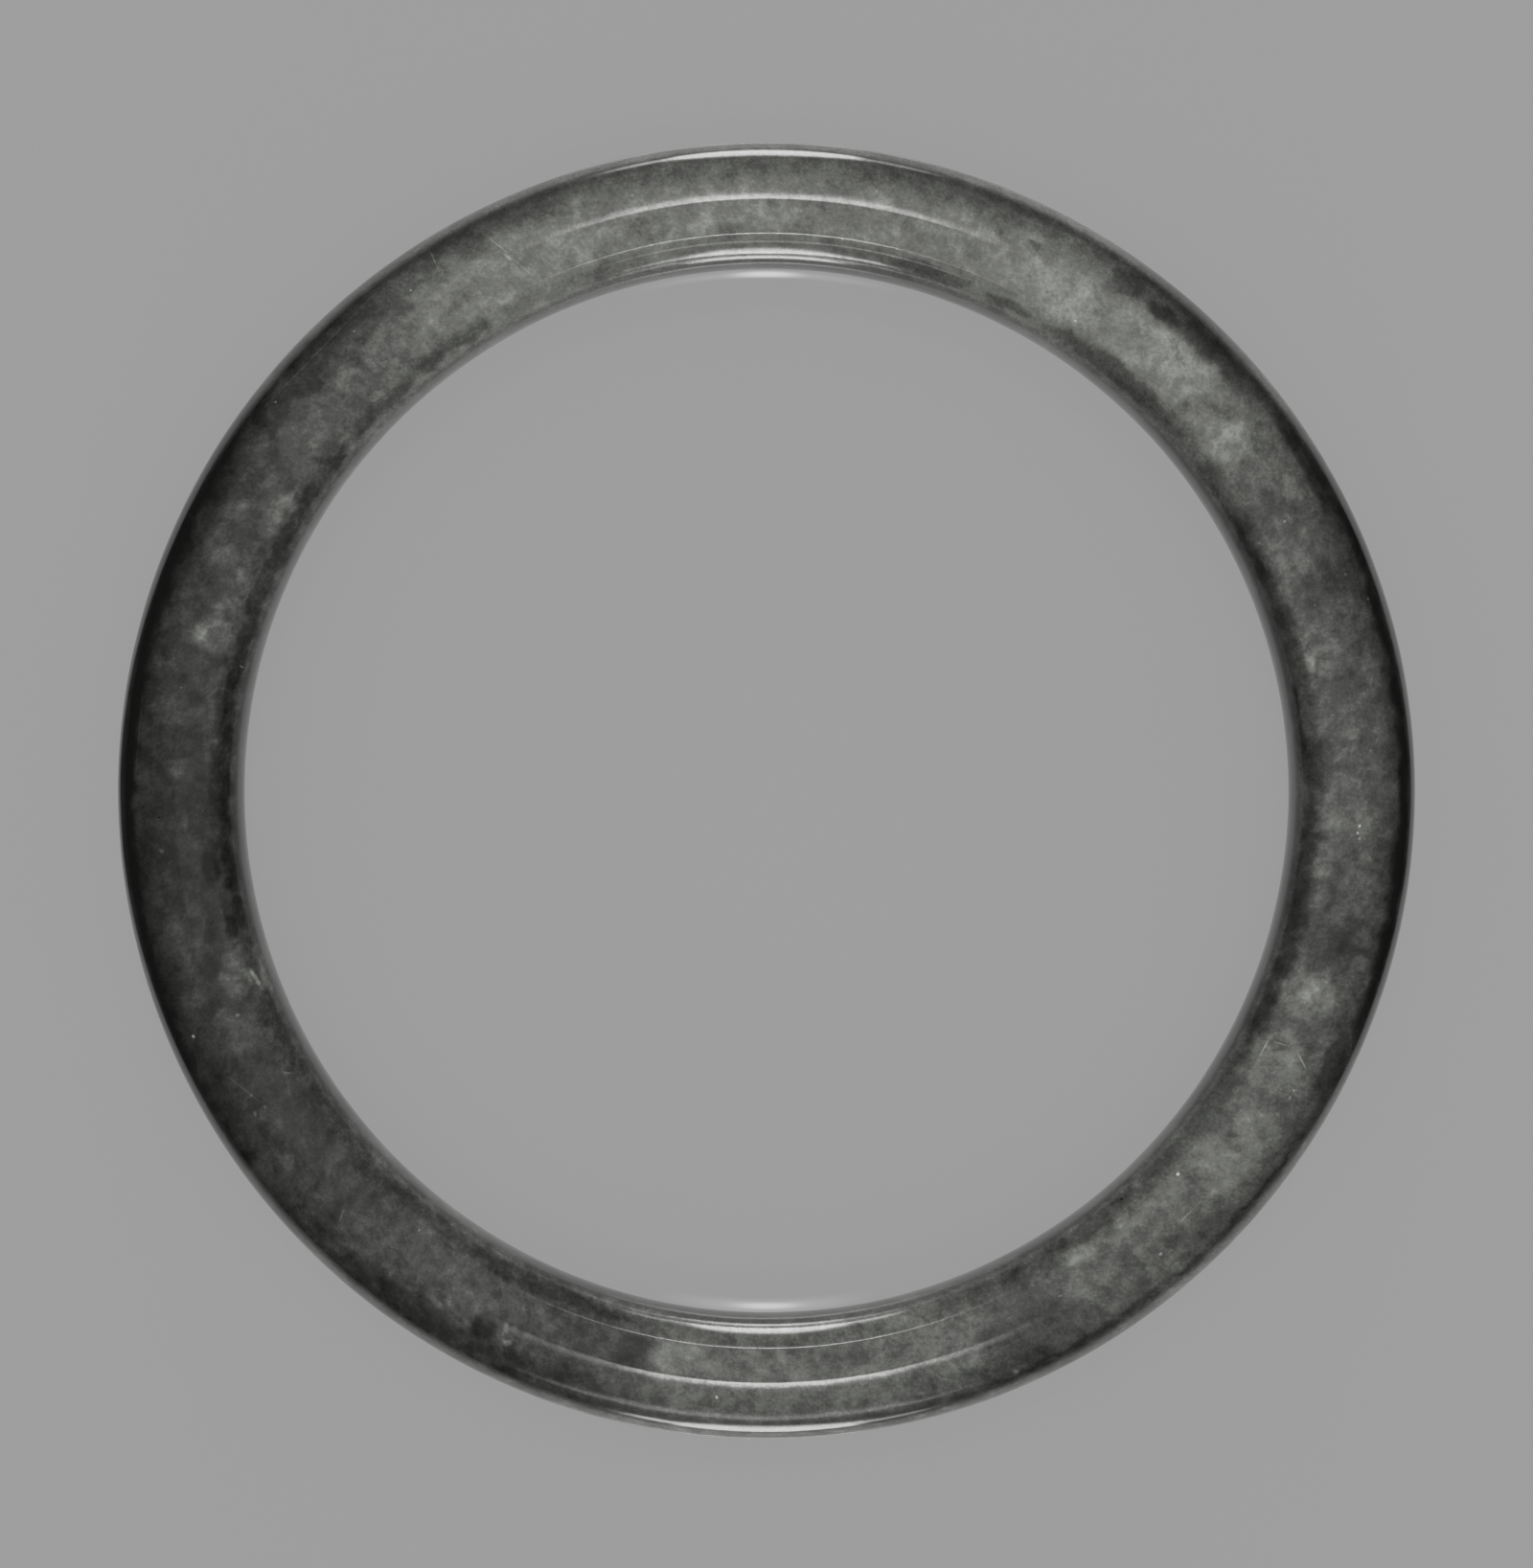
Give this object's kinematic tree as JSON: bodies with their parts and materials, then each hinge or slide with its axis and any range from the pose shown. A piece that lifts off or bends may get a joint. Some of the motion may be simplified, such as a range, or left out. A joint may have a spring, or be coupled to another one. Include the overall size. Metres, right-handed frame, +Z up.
{
  "type": "jade armlet",
  "caption": "Solid polished stone ring worn on the arm, nearly round in section, its two upper faces meeting in a low crest; it lies flat.",
  "frame": {"origin": "centre of the circle on which the armlet rests, on the surface it lies on", "axes": "+Z up along the ring's own axis; +X to the right and +Y away from a viewer who looks down on it"},
  "size_m": [0.08, 0.08, 0.0075],
  "materials": {
    "jade": "polished nephrite, mottled pale and dark grey-green in clouds, glossy, a little worn along the crest"
  },
  "bodies": {
    "root": {"armlet": "jade"}
  },
  "joints": []
}
